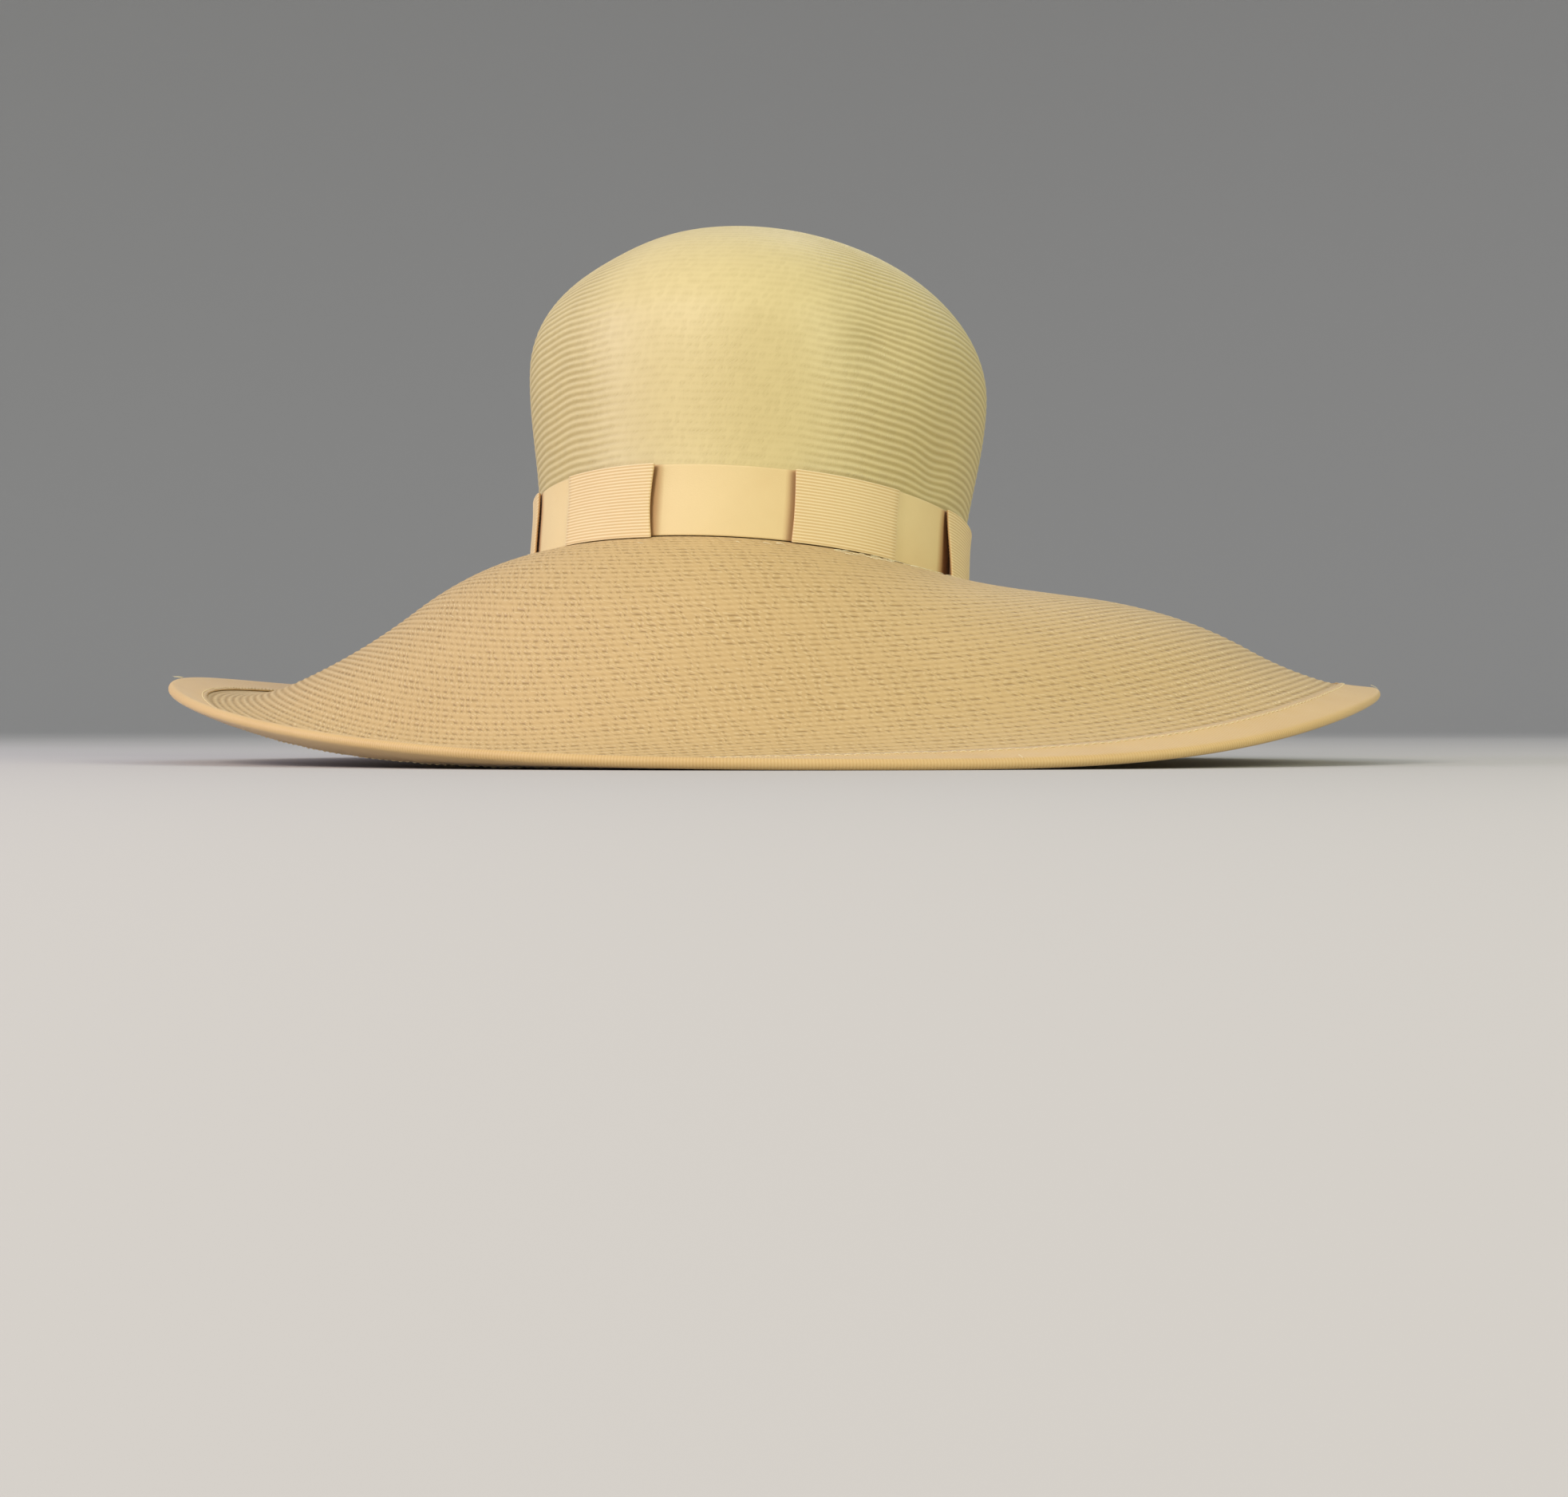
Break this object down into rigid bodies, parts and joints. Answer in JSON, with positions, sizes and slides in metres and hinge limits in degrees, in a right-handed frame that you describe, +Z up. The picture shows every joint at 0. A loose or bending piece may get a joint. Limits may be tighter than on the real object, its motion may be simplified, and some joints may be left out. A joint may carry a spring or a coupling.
{
  "type": "straw hat",
  "caption": "Wide-brimmed straw hat with a domed crown, a shaped brim, a pleated ribbon band and a ribbon-bound edge.",
  "frame": {"origin": "on the floor under the middle of the hat's bounding box, at the level of the brim's lowest point", "axes": "+Z up as the hat rests on its brim, -Y the way the hat faces, +X the wearer's left"},
  "size_m": [0.4564, 0.4526, 0.2018],
  "materials": {
    "crown_straw": "fine woven parasisal straw, pale yellow, low sheen",
    "brim_straw": "fine woven parasisal straw, tan, low sheen",
    "band_ribbon": "peach grosgrain ribbon, fine ribs along it",
    "binding_ribbon": "golden tan ribbon, smooth, stitched"
  },
  "bodies": {
    "root": {"crown": "crown_straw", "brim": "brim_straw", "hat_band": "band_ribbon", "brim_binding": "binding_ribbon"}
  },
  "joints": []
}
